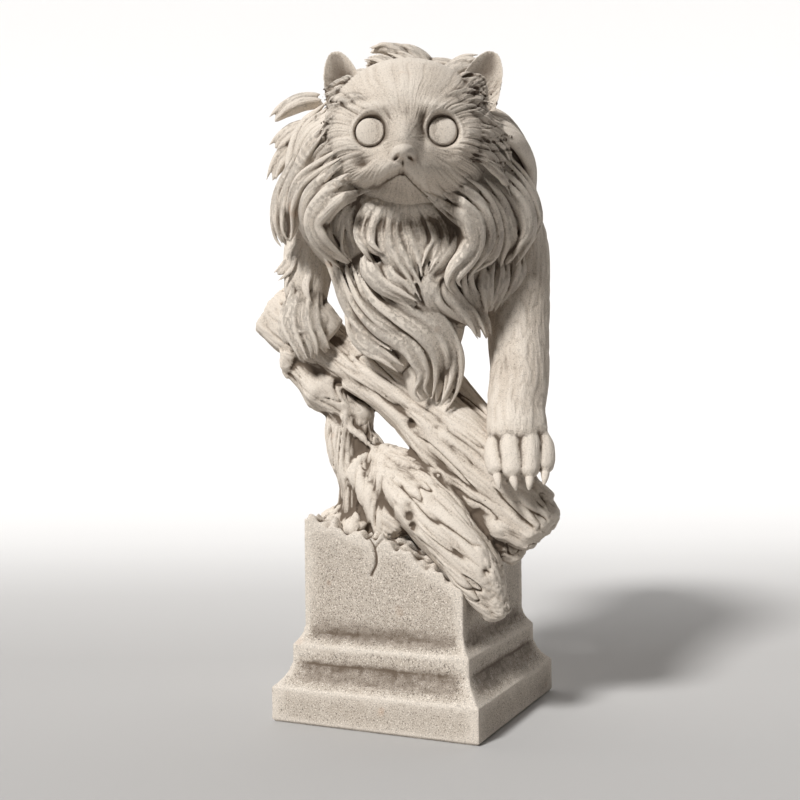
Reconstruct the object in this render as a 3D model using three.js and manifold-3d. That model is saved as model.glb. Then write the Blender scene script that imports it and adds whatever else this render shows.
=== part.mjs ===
// Cat figurine: a long-haired cat treading down a piece of driftwood, cast in one piece with
// the square moulded plinth that the wood grows out of. Millimetres, +Z up, origin at the
// centre of the plinth's underside, plinth front towards -Y.
//
// The cat and the wood are laid out in the figure's own directions: right (x), away (y) and
// up (z) as seen by someone the cat looks at. The whole figure is then turned on the plinth.
import * as THREE from 'three';
import { mergeVertices } from 'three/addons/utils/BufferGeometryUtils.js';
import Module from 'manifold-3d';

const wasm = await Module();
wasm.setup();

// Driving dimensions
const slabHalf = 50;
const slabHeight = 15.5;
const bandHalf = 43;
const bandBottom = 26.3;
const bandTop = 34.1;
const shaftHalf = 38.8;
const shaftBottom = 45.4;
const shaftTop = 91;
const edgeChamfer = 1.2;
const figureTurn = 24.2; // degrees that the cat looks past the plinth's front, to its right
const headCentre = [-2, -38, 258];
const headRadii = [38, 36, 35];
const faceMiddle = -2.5;
const eyeLevel = 255.5;
const eyeSpread = 15;
const eyeRadius = 6;
const eyeDepth = -68.2;
const eyeBulge = 3.4;
const lipDrop = 7.5; // how far the chin's side lies behind the edge of the upper lip

const joinTolerance = 1.85; // edges shorter than this are closed up where bodies join

const castStone = new THREE.MeshStandardMaterial({
  name: 'cast_stone', color: 0xcdbfa9, roughness: 0.85, metalness: 0,
});

const radians = THREE.MathUtils.degToRad;
const mix = THREE.MathUtils.lerp;
const easeBetween = (value, low, high) => THREE.MathUtils.smoothstep(value, low, high);

// A geometry as a closed solid: matching points merged, flat triangles dropped
function solid(geometry) {
  geometry.deleteAttribute('normal');
  geometry.deleteAttribute('uv');
  const merged = mergeVertices(geometry, 1e-3);
  const corners = [];
  for (let i = 0; i < merged.index.count; i += 3) {
    const three = [0, 1, 2].map((k) => merged.index.getX(i + k));
    if (new Set(three).size === 3) corners.push(...three);
  }
  return new wasm.Manifold(new wasm.Mesh({
    numProp: 3,
    vertProperties: new Float32Array(merged.attributes.position.array),
    triVerts: new Uint32Array(corners),
    tolerance: joinTolerance,
  }));
}

// The casting is solid right through: of a join's skins only the outermost is kept
function outerSkin(whole) {
  return whole.decompose().reduce((largest, next) => (next.volume() > largest.volume() ? next : largest));
}

const joined = (geometries) => geometries.map(solid).reduce((whole, next) => whole.add(next));

// A value read from a list of values that stand at even steps from 0 to 1
function along(values, t) {
  const place = t * (values.length - 1);
  const step = Math.min(Math.floor(place), values.length - 2);
  return mix(values[step], values[step + 1], place - step);
}

// A closed body laid along a curve: each parallel of a sphere becomes one cross-section.
// section(t, angle) gives its half width and half depth, and its depth points away from core.
// spacing says where along the curve each parallel stands.
function sweep({ path, core, sides, rows, section, spacing = (t) => t }) {
  const curve = new THREE.CatmullRomCurve3(path.map((p) => new THREE.Vector3(...p)), false, 'centripetal');
  const geometry = new THREE.SphereGeometry(1, sides, rows);
  const spots = geometry.attributes.position;
  const heart = new THREE.Vector3(...core);
  for (let i = 0; i < spots.count; i += 1) {
    const row = Math.floor(i / (sides + 1));
    const t = spacing(row / rows);
    const angle = (2 * Math.PI * (i % (sides + 1) % sides)) / sides;
    const [across, deep] = row % rows === 0 ? [0, 0] : section(t, angle);
    const tangent = curve.getTangent(t);
    const centre = curve.getPoint(t);
    const out = centre.clone().sub(heart).projectOnPlane(tangent).normalize();
    const side = out.clone().cross(tangent);
    centre.addScaledVector(side, -across * Math.cos(angle)).addScaledVector(out, deep * Math.sin(angle));
    spots.setXYZ(i, centre.x, centre.y, centre.z);
  }
  return geometry;
}

// A limb whose ends round over within the share blunt of its length.
// bark is how far its ridges stand out, as a share of its size; square is 2 for a round section,
// and more for one with flatter sides
function limb({
  path, sizes, flat = 1, core = [0, 400, 100], sides = 9, rows = 8, bark = 0, blunt = 0.08, square = 2,
}) {
  const cap = (t) => Math.sqrt(1 - (1 - Math.min(1, t / blunt)) ** 2);
  const crowdedToEnds = (t) => (1 - Math.cos(Math.PI * t)) / 2;
  const section = (t, angle) => {
    const ridges = Math.sin(3 * angle + 5 * t) + 0.7 * Math.sin(5 * angle - 7 * t + 1)
      + 0.5 * Math.sin(17 * t);
    const corner = Math.abs(Math.cos(angle)) ** square + Math.abs(Math.sin(angle)) ** square;
    const half = along(sizes, t) * cap(t) * cap(1 - t) * (1 + bark * ridges) * corner ** (-1 / square);
    return [half, half * flat];
  };
  return sweep({ path, core, sides, rows, section, spacing: crowdedToEnds });
}

// A lock of hair: swells from its root and runs out to a point
function lock({ path, core, across, deep, sides = 5, rows = 5 }) {
  const swell = (t) => Math.sin(Math.PI * t ** 0.75) ** 0.8;
  return sweep({ path, core, sides, rows, section: (t) => [across * swell(t), deep * swell(t)] });
}

// Locks spread evenly between a first and a last guide strand
function fan({ first, last, count, ...shape }) {
  const locks = [];
  for (let k = 0; k < count; k += 1) {
    const share = count > 1 ? k / (count - 1) : 0.5;
    const path = first.map((p, i) => p.map((value, axis) => mix(value, last[i][axis], share)));
    locks.push(lock({ path, ...shape }));
  }
  return locks;
}

// Rows of locks that lie along an egg-shaped form from its front to its back.
// rows: degrees from the front; span: degrees to each side of the top
function pelt({ centre, radii, rows, span, count, reach, across, deep, lift }) {
  const locks = [];
  rows.forEach((row, r) => {
    for (let k = 0; k < count; k += 1) {
      const turn = radians(mix(-span, span, (k + (r % 2) / 2) / (count - 0.5)));
      const path = [0, 0.35, 0.7, 1].map((share) => {
        const polar = radians(row + reach * share);
        const rise = mix(-deep, lift, share);
        return [
          centre[0] + (radii[0] + rise) * Math.sin(polar) * Math.sin(turn),
          centre[1] - (radii[1] + rise) * Math.cos(polar),
          centre[2] + (radii[2] + rise) * Math.sin(polar) * Math.cos(turn),
        ];
      });
      locks.push(lock({ path, core: centre, across, deep }));
    }
  });
  return locks;
}

// An egg-shaped form
function egg(centre, radii, sides = 12, rows = 8) {
  const geometry = new THREE.SphereGeometry(1, sides, rows);
  geometry.rotateX(Math.PI / 2);
  geometry.scale(...radii);
  geometry.translate(...centre);
  return geometry;
}

// The square plinth: slab, hollowed slope, band, hollow and shaft
function plinthSolid() {
  const diagonal = Math.SQRT2;
  const profile = [
    [0, 0],
    [slabHalf - edgeChamfer, 0],
    [slabHalf, edgeChamfer],
  ];
  const hollow = (fromHalf, fromHeight, toHalf, toHeight, sag) => {
    for (let share = 0; share <= 1; share += 0.25) {
      const dip = sag * Math.sin(Math.PI * share);
      profile.push([mix(fromHalf, toHalf, share) - dip, mix(fromHeight, toHeight, share) - dip / 2]);
    }
  };
  hollow(slabHalf, slabHeight, bandHalf, bandBottom, 0.9);
  hollow(bandHalf, bandTop, shaftHalf, shaftBottom, 1.3);
  profile.push([shaftHalf, shaftTop + 5], [0, shaftTop + 5]);
  const points = profile.map(([half, height]) => new THREE.Vector2(half * diagonal, height));
  const geometry = new THREE.LatheGeometry(points, 4);
  geometry.rotateY(Math.PI / 4);
  geometry.rotateX(Math.PI / 2);
  return solid(geometry);
}

// Height of the plinth's broken top: highest at the left, falling away to the front right corner
function brokenTop(x, y) {
  const fallLeft = 7 * easeBetween(x, -shaftHalf, -8);
  const fallRight = 21 * easeBetween(x, -6, shaftHalf + 6) * mix(1, 0.6, (y + shaftHalf) / (2 * shaftHalf));
  const jagged = 1.1 * Math.sin(0.52 * x + 0.31 * y) + 0.9 * Math.sin(0.83 * y - 0.41 * x + 1)
    + 0.7 * Math.sin(1.3 * x + 2);
  return shaftTop - fallLeft - fallRight + jagged;
}

function brokenTopCutter() {
  const height = 60;
  const geometry = new THREE.BoxGeometry(90, 90, height, 11, 11, 1);
  const spots = geometry.attributes.position;
  for (let i = 0; i < spots.count; i += 1) {
    const [x, y] = [spots.getX(i), spots.getY(i)];
    spots.setZ(i, spots.getZ(i) < 0 ? brokenTop(x, y) : shaftTop + height);
  }
  return solid(geometry);
}

// Driftwood: the log, the stump and limbs that carry it, and the roots on the plinth
const woodPieces = [
  // the log under the forefeet
  { path: [[-69, 8, 188], [-55, 4, 179], [-37, 0, 165], [-16, -8, 157], [2, -15, 144], [18, -22, 128],
    [36, -30, 108], [57, -39, 84]],
    sizes: [12, 15, 14, 14, 14, 17, 16, 12], sides: 10, rows: 12, blunt: 0.02 },
  // broken stub below its upper end
  { path: [[-55, 2, 163], [-42, -4, 149], [-28, -8, 135]], sizes: [8, 11, 5] },
  // lower ridge of the log
  { path: [[-34, -12, 155], [-22, -15, 149], [-8, -20, 139], [4, -26, 126], [16, -32, 112]],
    sizes: [4, 6, 6.5, 7, 6] },
  // its back edge
  { path: [[0, -6, 164], [11, -12, 154], [25, -20, 138], [36, -28, 121]], sizes: [8, 9, 9, 9] },
  // its split lower end
  { path: [[24, -30, 98], [40, -37, 89], [53, -42, 82]], sizes: [9, 9, 5] },
  // rough wood behind that
  { path: [[28, -30, 90], [39, -31, 80], [46, -30, 73]], sizes: [9, 8, 5] },
  // stump from the plinth
  { path: [[-29, -2, 146], [-31, -3, 124], [-24, -4, 106], [-21, -2, 88], [-19, 0, 66]],
    sizes: [10, 11.5, 12.5, 18, 24] },
  // its shoulder
  { path: [[-30, -2, 126], [-17, -6, 113], [0, -14, 102], [14, -22, 96]], sizes: [10, 10, 12, 13] },
  // forward limb that hangs over the plinth's corner
  { path: [[-20, -8, 116], [-8, -18, 109], [3, -28, 99], [15, -38, 86], [26, -44, 70], [35, -45, 50]],
    sizes: [9, 14, 16, 15, 12, 7], sides: 10, rows: 10, blunt: 0.03 },
  // wood between the log and that limb
  { path: [[1, -14, 122], [15, -22, 108], [32, -30, 92]], sizes: [11, 16, 13] },
  // rear limb under the hind feet
  { path: [[-16, -8, 152], [-11, 14, 152], [-7, 40, 160], [-4, 72, 167]], sizes: [12, 13, 13, 9] },
  // chip beside the paw
  { path: [[44, -36, 104], [53, -41, 104], [60, -42, 100]], sizes: [6, 5, 3], sides: 8, rows: 6 },
];
const rootEnds = [[-46, 6], [-38, 28], [-8, 38], [18, 30], [30, 2], [-42, -14], [-30, -26]];

function driftwood() {
  const roots = rootEnds.map(([x, y]) => ({
    path: [[-22, 0, 96], [mix(-22, x, 0.5), y / 2, 89], [x, y, mix(88, 72, (x + 46) / 76)]],
    sizes: [9, 8, 3], sides: 8, rows: 6,
  }));
  return [...woodPieces, ...roots].map((piece) => limb({ bark: 0.045, square: 2.6, ...piece }));
}

// Holes and hollows in the wood
function woodHollows() {
  return [
    limb({ path: [[-36, -22, 168], [-35, -10, 167]], sizes: [2.2, 2], sides: 8, rows: 5 }),
    limb({ path: [[-5, -52, 92], [-4, -38, 94], [-6, -26, 97]], sizes: [4, 5.5, 4], sides: 8, rows: 6 }),
  ];
}

// Where the face stands out of the round head: place measured from between the eyes, half size,
// how far, and how squarely (2 where nothing is said)
const faceForms = [
  { place: [-1, -11], size: [14, 11], out: 8 }, // muzzle
  { place: [-1, -1], size: [6.2, 9], out: 4.5 }, // bridge of the nose
  { place: [-1.4, -11.4], size: [5.2, 3], out: 4.2, square: 4 }, // nose
  { place: [-9.5, -15.5], size: [8.5, 5], out: 3.6 }, // left whisker pad
  { place: [8.5, -17.5], size: [9, 6], out: 4.2 }, // right whisker pad
  { place: [-eyeSpread, -1], size: [8, 7.5], out: -4.2 }, // left eye socket
  { place: [eyeSpread, -1], size: [8, 7.5], out: -4.2 }, // right eye socket
  { place: [-15, 10], size: [9, 3], out: 1.6 }, // left brow
  { place: [15, 10], size: [9, 3], out: 1.6 }, // right brow
  { place: [0, 16], size: [16, 8], out: 1.5 }, // forehead
  { place: [-26, -8], size: [9, 9], out: 3 }, // left cheek
  { place: [27, -8], size: [9, 9], out: 3 }, // right cheek
];
const chin = { place: [-0.5, -24], size: [9.5, 5.5], out: 6.5 };
// the edge of the upper lip, from its left end to its right
const lipEdge = [[-34, -14], [-27, -18.5], [-22.9, -20.8], [-18.6, -22.6], [-11.9, -22.2], [-7.4, -20],
  [-2.9, -17.6], [-0.9, -17.6], [3, -21.6], [8.1, -25.4], [14.7, -27.4], [18.6, -29.8], [26, -33]];

function lipHeight(x) {
  const next = lipEdge.findIndex(([place]) => place > x);
  if (next < 1) return lipEdge[next < 0 ? lipEdge.length - 1 : 0][1];
  const [from, to] = [lipEdge[next - 1], lipEdge[next]];
  return mix(from[1], to[1], (x - from[0]) / (to[0] - from[0]));
}

function bulge({ place, size, out, square = 2 }, x, z) {
  const across = Math.abs((x - place[0]) / size[0]);
  const up = Math.abs((z - place[1]) / size[1]);
  return out * Math.exp(-(across ** square) - up ** square);
}

function faceRelief(x, z) {
  const sideLimits = easeBetween(x, -27, -23) * easeBetween(-x, -22, -17);
  const under = easeBetween(lipHeight(x) - z, -0.7, 1) * sideLimits;
  const whole = faceForms.reduce((out, form) => out + bulge(form, x, z), 0);
  return whole - under * lipDrop + under * bulge(chin, x, z);
}

// The head: a sphere whose pole is at the nose, so its points lie closest where the face is finest
function headGeometry() {
  const sides = 30;
  const rows = 18;
  const geometry = new THREE.SphereGeometry(1, sides, rows);
  const spots = geometry.attributes.position;
  for (let i = 0; i < spots.count; i += 1) {
    const row = Math.floor(i / (sides + 1));
    const polar = row % rows === 0 ? Math.PI * (row / rows) : Math.PI * (row / rows) ** 1.35;
    const turn = (2 * Math.PI * (i % (sides + 1) % sides)) / sides;
    const x = headCentre[0] + headRadii[0] * Math.sin(polar) * Math.cos(turn);
    const z = headCentre[2] + headRadii[2] * Math.sin(polar) * Math.sin(turn);
    const front = easeBetween(Math.cos(polar), -0.1, 0.5);
    const relief = faceRelief(x - faceMiddle, z - eyeLevel);
    const y = headCentre[1] - headRadii[1] * Math.cos(polar) - front * relief;
    spots.setXYZ(i, x, y, z);
  }
  return geometry;
}

// One ear: a cone hollowed from the front
function ear({ base, tip, half }) {
  const between = (share, forward) => [
    mix(base[0], tip[0], share),
    mix(base[1], tip[1], share) - forward,
    mix(base[2], tip[2], share),
  ];
  const outer = solid(limb({
    path: [between(-0.35, 0), between(0.4, 0), tip],
    sizes: [half, half * 0.95, half * 0.15],
    flat: 0.5, blunt: 0.3,
  }));
  const inner = solid(limb({
    path: [between(-0.1, half * 0.45), between(0.4, half * 0.45), between(0.88, half * 0.2)],
    sizes: [half * 0.5, half * 0.6, half * 0.1],
    flat: 0.55, sides: 8, rows: 6, blunt: 0.3,
  }));
  return outer.subtract(inner);
}

function eye(side) {
  return egg([faceMiddle + side * eyeSpread, eyeDepth, eyeLevel], [eyeRadius, eyeBulge, eyeRadius], 12, 6);
}

// The toes of a paw, from the wrist over the knuckles to the tips, and the claws where given
function paw({ wrist, knuckles, tips, size, claws = [] }) {
  const toes = knuckles.map((knuckle, k) => {
    const root = wrist.map((value, axis) => mix(value, knuckle[axis], 0.35));
    return limb({
      path: [root, knuckle, tips[k]], sizes: [size, size * 1.05, size * 0.8],
      core: wrist, sides: 7, rows: 6, blunt: 0.16,
    });
  });
  const points = claws.map((claw, k) => {
    const middle = tips[k].map((value, axis) => mix(value, claw[axis], 0.5));
    return lock({ path: [tips[k], middle, claw], core: wrist, across: 2.2, deep: 2.2, rows: 3 });
  });
  return [...toes, ...points];
}

// The cat's bodily forms under the coat
function catForms() {
  return [
    egg([-2, -14, 240], [54, 42, 48]), // mane
    egg([-1, 6, 254], [56, 36, 40]), // shoulders
    egg([-7, 6, 282], [27, 20, 29]), // withers
    egg([3, -18, 203], [35, 32, 31]), // breast
    egg([1, -21, 181], [22, 21, 26]), // fall of the breast hair
    egg([3, -22, 162], [9, 13, 24], 10, 8), // its lower end
    egg([-4, 36, 262], [40, 42, 34]), // trunk
    egg([-5, 60, 258], [36, 34, 34]), // rump
    egg([28, 48, 236], [15, 26, 34]), // right haunch
    egg([-30, 48, 238], [14, 26, 32]), // left haunch
    // right foreleg
    limb({
      path: [[38, 4, 240], [45, -6, 217], [47, -12, 192], [47, -20, 172], [46.5, -28, 154], [44, -38, 140],
        [44, -49, 124]],
      sizes: [16, 17, 15.5, 14, 13.5, 13, 10], sides: 10, rows: 10,
    }),
    egg([44, -49, 126], [13.5, 10, 10], 10, 6), // its paw
    // left foreleg and the foot's hair
    limb({
      path: [[-40, 0, 236], [-48, -4, 212], [-50, -8, 192], [-49, -12, 180], [-48, -14, 172]],
      sizes: [15, 13, 10, 10, 10],
    }),
    limb({ path: [[-50, -8, 188], [-44, -10, 181], [-37, -9, 175]], sizes: [9, 9, 7], rows: 6 }),
    // hind legs
    limb({ path: [[26, 58, 232], [22, 64, 212], [14, 60, 192], [9, 50, 178]], sizes: [12, 9, 7, 8] }),
    limb({ path: [[-28, 58, 236], [-26, 64, 214], [-22, 52, 192], [-19, 40, 176]], sizes: [12, 9, 7, 8] }),
    // tail, curled round to the left
    limb({
      path: [[-8, 76, 260], [-30, 74, 266], [-44, 56, 272], [-50, 36, 268], [-50, 26, 260], [-48, 20, 252]],
      sizes: [12, 14, 15, 14, 13, 8], rows: 9,
    }),
  ];
}

// What each part of the coat grows from, and how thick its locks are for their width
const growth = {
  ruff: { core: [-2, 0, 235], thickness: 1 },
  beard: { core: [-2, 0, 235], thickness: 0.9 },
  breast: { core: [2, 10, 180], thickness: 0.8 },
  elbow: { core: [-30, 10, 220], thickness: 0.6 },
  foot: { core: [-46, 10, 190], thickness: 0.8 },
  tail: { core: [-40, 60, 262], width: 1, thickness: 0.7 },
  back: { core: [-4, 40, 250], width: 1.2, thickness: 0.6 },
};
// Locks that show one by one: where each grows, its half width, and its run from root to tip
const coatLocks = [
  ['ruff', 3.3, [[-41, -25, 277], [-47, -27, 261], [-53.5, -27, 248], [-59, -26, 237],
    [-60.5, -27, 227], [-59, -26, 219], [-57, -26, 214]]],
  ['ruff', 3.1, [[-35, -57, 263], [-44, -44, 253], [-52, -35, 242], [-56, -31, 232],
    [-57, -30, 222], [-55, -29, 215]]],
  ['ruff', 2.9, [[-28, -65, 249], [-39, -52, 245], [-48, -42, 239], [-52, -36, 231],
    [-53, -32, 222], [-55, -31, 215]]],
  ['ruff', 3.7, [[-26, -64, 243], [-35, -55, 239], [-43, -47, 233], [-46, -42, 226],
    [-46, -36, 219], [-44, -30, 214]]],
  ['ruff', 4.5, [[-19, -65, 236], [-30, -58, 233], [-37, -53, 228], [-41, -48, 222],
    [-39, -46, 215], [-34, -42, 209], [-28, -38, 204]]],
  ['beard', 2.1, [[-26, -52, 232], [-30, -48, 225], [-32, -44, 217], [-30, -41, 210], [-27, -38, 205]]],
  ['beard', 2.1, [[-21, -54, 231], [-26, -50, 224], [-27, -46, 217], [-25, -44, 210]]],
  ['beard', 4.5, [[-15, -55, 228], [-19, -53, 222], [-20, -52, 216], [-18, -52, 211], [-14, -51, 206]]],
  ['beard', 3.7, [[-11, -56, 228], [-13, -53, 219], [-12, -51, 211], [-9, -51, 204], [-4, -51, 196],
    [2, -50, 186]]],
  ['beard', 2.9, [[-7, -57, 228], [-9, -54, 219], [-8, -52, 211], [-4, -52, 203], [0, -51, 195],
    [3, -49, 185]]],
  ['beard', 2.7, [[-4, -57, 228], [-4, -54, 219], [-2, -52, 211], [0, -52, 204], [2, -52, 195]]],
  ['beard', 2.7, [[0, -57, 228], [2, -54, 220], [3, -52, 213], [4, -52, 205], [5, -53, 197]]],
  ['beard', 2.7, [[3, -57, 228], [7, -54, 222], [9, -52, 215], [7, -52, 208], [4, -53, 201]]],
  ['beard', 2.9, [[7, -56, 228], [12, -53, 222], [14, -51, 216], [13, -51, 209], [9, -52, 203],
    [6, -53, 198]]],
  ['beard', 3.1, [[10, -54, 228], [16, -52, 222], [19, -50, 215], [17, -50, 209], [12, -51, 202],
    [7, -51, 195], [7, -50, 190]]],
  ['beard', 3.5, [[11, -52, 202], [7, -51, 194], [9, -48, 187], [15, -44, 181], [23, -38, 177]]],
  ['beard', 3.7, [[-22, -44, 208], [-19, -47, 201], [-13, -49, 194], [-6, -50, 190], [1, -50, 185]]],
  ['beard', 2.9, [[-14, -49, 206], [-10, -51, 198], [-5, -51, 193], [0, -51, 188]]],
  ['ruff', 4.1, [[3, -70, 235], [12, -63, 230], [19, -59, 225], [24, -55, 220], [25, -53, 213],
    [22, -54, 206], [17, -55, 200], [15, -53, 195], [18, -50, 191]]],
  ['ruff', 3.3, [[12, -65, 234], [22, -57, 229], [29, -52, 222], [31, -48, 214], [28, -49, 208],
    [23, -49, 202], [20, -50, 196]]],
  ['ruff', 2.9, [[18, -63, 238], [28, -55, 232], [33, -48, 224], [35, -44, 215], [33, -43, 208],
    [28, -45, 204], [22, -49, 200]]],
  ['ruff', 3.5, [[28, -53, 239], [35, -47, 232], [39, -41, 224], [41, -36, 215], [39, -32, 208],
    [38, -30, 204]]],
  ['ruff', 3.7, [[33, -48, 244], [44, -40, 236], [49, -35, 227], [50, -33, 219], [46, -33, 212],
    [41, -32, 204]]],
  ['ruff', 2.9, [[37, -42, 253], [47, -34, 243], [53, -29, 232], [54, -27, 224], [51, -27, 217],
    [45, -26, 210]]],
  ['breast', 3.7, [[14, -50, 201], [14, -48, 192], [19, -44, 185], [25, -40, 179], [29, -38, 171]]],
  ['breast', 2.9, [[24, -47, 203], [23, -44, 194], [27, -38, 185], [31, -33, 177], [32, -31, 171]]],
  ['breast', 2.9, [[34, -35, 207], [31, -38, 197], [31, -38, 189], [32, -36, 182]]],
  ['breast', 3.1, [[41, -30, 207], [39, -31, 197], [36, -31, 190], [33, -31, 183]]],
  ['breast', 2.9, [[48, -26, 211], [47, -26, 201], [43, -26, 192], [38, -26, 185]]],
  ['breast', 3.1, [[-41, -33, 213], [-35, -30, 201], [-30, -30, 189], [-24, -32, 179],
    [-16, -36, 172], [-7, -40, 166]]],
  ['breast', 3.7, [[-33, -36, 208], [-28, -36, 194], [-22, -38, 184], [-14, -40, 176],
    [-5, -42, 170], [1, -41, 163], [3, -39, 156], [2, -37, 150], [5, -34, 144]]],
  ['breast', 3.3, [[-30, -23, 189], [-27, -29, 177], [-21, -33, 169], [-12, -35, 164], [-4, -35, 158]]],
  ['breast', 4.1, [[-24, -41, 205], [-16, -44, 190], [-6, -45, 182], [4, -45, 174], [10, -42, 165],
    [11, -37, 155], [9, -32, 142]]],
  ['breast', 3.9, [[-15, -48, 196], [-4, -48, 187], [7, -46, 180], [14, -42, 171], [17, -39, 162],
    [15, -38, 151], [11, -38, 141]]],
  ['breast', 3.1, [[-7, -49, 189], [5, -46, 183], [14, -43, 177], [18, -39, 171]]],
  ['breast', 2.9, [[-30, -37, 206], [-23, -40, 190], [-14, -42, 180], [-3, -43, 172], [4, -43, 165]]],
  ['elbow', 3.3, [[-50, -12, 222], [-54, -13, 214], [-57, -14, 207], [-63, -14, 202]]],
  ['elbow', 5.4, [[-49, -11, 211], [-51, -12, 202], [-51, -13, 194], [-47, -13, 186]]],
  ['elbow', 2.9, [[-53, -12, 219], [-55, -12, 210], [-57, -12, 201], [-56, -11, 192]]],
  ['foot', 2.7, [[-54, -18, 188], [-55, -18, 180], [-54, -18, 172], [-51, -18, 165]]],
  ['foot', 2.7, [[-49, -19, 188], [-49, -19, 179], [-48, -19, 171], [-46, -19, 166]]],
  ['foot', 2.5, [[-44, -18, 190], [-43, -18, 182], [-41, -18, 175], [-39, -18, 170]]],
  ['foot', 2.5, [[-58, -14, 190], [-60, -14, 182], [-60, -14, 176], [-58, -14, 170]]],
  ['tail', 4.5, [[-44, 26, 293], [-54, 26, 291], [-62, 26, 287], [-68, 26, 281]]],
  ['tail', 4.1, [[-49, 26, 281], [-57, 26, 277], [-63, 26, 273], [-68, 26, 268]]],
  ['tail', 3.7, [[-53, 24, 270], [-60, 24, 266], [-65, 24, 260], [-69, 24, 252]]],
  ['tail', 3.3, [[-54, 24, 260], [-59, 24, 254], [-62, 24, 248], [-64, 24, 243]]],
  ['back', 3.7, [[4, 6, 301], [-5, 6, 308], [-13, 6, 311], [-20, 6, 309]]],
  ['back', 3.7, [[12, 8, 299], [5, 8, 306], [-2, 8, 310], [-8, 8, 312]]],
  ['back', 2.9, [[8, 4, 294], [18, 4, 300], [25, 4, 304], [32, 4, 305]]],
  ['back', 3.3, [[-6, 4, 293], [-11, 4, 299], [-17, 4, 302], [-22, 4, 302]]],
  ['back', 3.3, [[1, 10, 301], [9, 10, 304], [16, 10, 304], [22, 10, 302]]],
];

function coat() {
  const drawn = coatLocks.map(([place, half, path]) => {
    const { core, width = 1.4, thickness } = growth[place];
    return lock({ path, core, across: half * width, deep: half * thickness + 1 });
  });
  const outer = { core: growth.ruff.core, across: 6, deep: 4.6, count: 3 };
  const bold = { across: 6, deep: 4.4 };
  const rows = { ...bold, count: 5, reach: 44, lift: 2.5 };
  return [
    drawn,
    // outer mane beside the cheeks
    fan({ ...outer,
      first: [[32, -10, 286], [43, -8, 273], [52, -8, 257], [56, -10, 236]],
      last: [[34, -52, 264], [45, -38, 257], [52, -26, 248], [54, -22, 234]] }),
    fan({ ...outer,
      first: [[-40, -14, 286], [-49, -14, 270], [-55.5, -14, 254], [-58, -16, 238]],
      last: [[-36, -56, 264], [-43, -44, 256], [-50, -38, 245], [-53, -30, 233]] }),
    // hair that hangs from the tail
    fan({ core: [-40, 40, 260], ...bold, count: 4,
      first: [[-40, 66, 280], [-54, 70, 279], [-62, 66, 272]],
      last: [[-50, 32, 266], [-58, 34, 258], [-61, 34, 250]] }),
    // coat on the back, sides and haunches
    pelt({ centre: [0, 6, 256], radii: [53, 36, 37], rows: [100], span: 105, ...rows }),
    pelt({ centre: [-5, 52, 259], radii: [39, 40, 34], rows: [84, 130], span: 115, ...rows }),
  ].flat();
}

function figureSolid() {
  const rightPaw = paw({
    wrist: [44, -40, 138],
    knuckles: [[34, -53, 124], [40.5, -57, 128], [48, -57, 128], [54.5, -53, 125]],
    tips: [[34, -59, 113], [40.5, -63, 112], [47.5, -63, 112], [54.5, -59, 114]],
    claws: [[35, -62, 105.5], [41.7, -65, 105], [46.9, -65, 105], [53.5, -62, 107]],
    size: 4.6,
  });
  const leftPaw = paw({
    wrist: [-49, -10, 184],
    knuckles: [[-55, -17, 176], [-49, -19, 175], [-43, -19, 173]],
    tips: [[-55, -21, 170], [-49, -23, 169], [-42, -22, 167]],
    size: 3.6,
  });
  const hindPaws = [[9, 46, 176], [-18, 34, 173]].map((place) => egg(place, [9, 14, 7], 10, 6));
  const forms = joined([...catForms(), ...leftPaw, ...rightPaw, ...hindPaws, ...coat()]);
  const face = joined([headGeometry(), eye(-1), eye(1)]);
  const wood = joined(driftwood()).subtract(joined(woodHollows()));
  const leftEar = ear({ base: [-30, -34, 281], tip: [-33.5, -30, 300], half: 9.8 });
  const rightEar = ear({ base: [29, -34, 280], tip: [36.5, -29, 299.5], half: 10.8 });
  return [face, leftEar, rightEar, wood].reduce((whole, next) => whole.add(next), forms);
}

// The figure turned on the plinth, and both made one casting
function castingGeometry() {
  const turned = geometryOf(figureSolid());
  turned.rotateZ(radians(figureTurn));
  const plinth = plinthSolid().subtract(brokenTopCutter());
  return geometryOf(outerSkin(plinth.add(solid(turned))));
}

function geometryOf(manifold) {
  const mesh = manifold.getMesh();
  const geometry = new THREE.BufferGeometry();
  geometry.setAttribute('position', new THREE.BufferAttribute(new Float32Array(mesh.vertProperties), 3));
  geometry.setIndex(new THREE.BufferAttribute(new Uint32Array(mesh.triVerts), 1));
  return geometry;
}

const figurine = new THREE.Mesh(castingGeometry(), castStone);
figurine.name = 'cat_figurine';
const model = new THREE.Group();
model.add(figurine);

export default model;
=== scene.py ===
# Cat figurine: the dressed surfaces of one cast-stone figure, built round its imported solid.
# Forms are laid out in millimetres in the figure's own directions, as seen by someone the cat
# looks at: right (x), away (y), up (z). Each piece is then turned on the plinth, in metres.
import bpy
import math
import numpy as np
from mathutils import Matrix, Vector, kdtree


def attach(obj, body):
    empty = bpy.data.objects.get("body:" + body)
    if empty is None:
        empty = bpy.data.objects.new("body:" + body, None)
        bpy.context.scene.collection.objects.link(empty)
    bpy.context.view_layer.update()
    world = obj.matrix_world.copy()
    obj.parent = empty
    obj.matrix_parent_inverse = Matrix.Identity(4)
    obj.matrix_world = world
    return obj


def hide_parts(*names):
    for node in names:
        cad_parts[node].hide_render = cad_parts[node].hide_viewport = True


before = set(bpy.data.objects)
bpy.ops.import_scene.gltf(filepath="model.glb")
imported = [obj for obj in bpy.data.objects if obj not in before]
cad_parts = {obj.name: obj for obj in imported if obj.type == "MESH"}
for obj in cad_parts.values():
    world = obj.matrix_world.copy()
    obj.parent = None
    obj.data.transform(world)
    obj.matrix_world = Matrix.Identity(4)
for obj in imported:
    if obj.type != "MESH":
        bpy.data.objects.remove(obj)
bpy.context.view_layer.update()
castingNode = "cat_figurine"
figureTurn = math.radians(24.2)  # how far past the plinth's front the cat looks
millimetre = 0.001
dice = np.random.default_rng(7)
print("stage: frame loaded")


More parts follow.
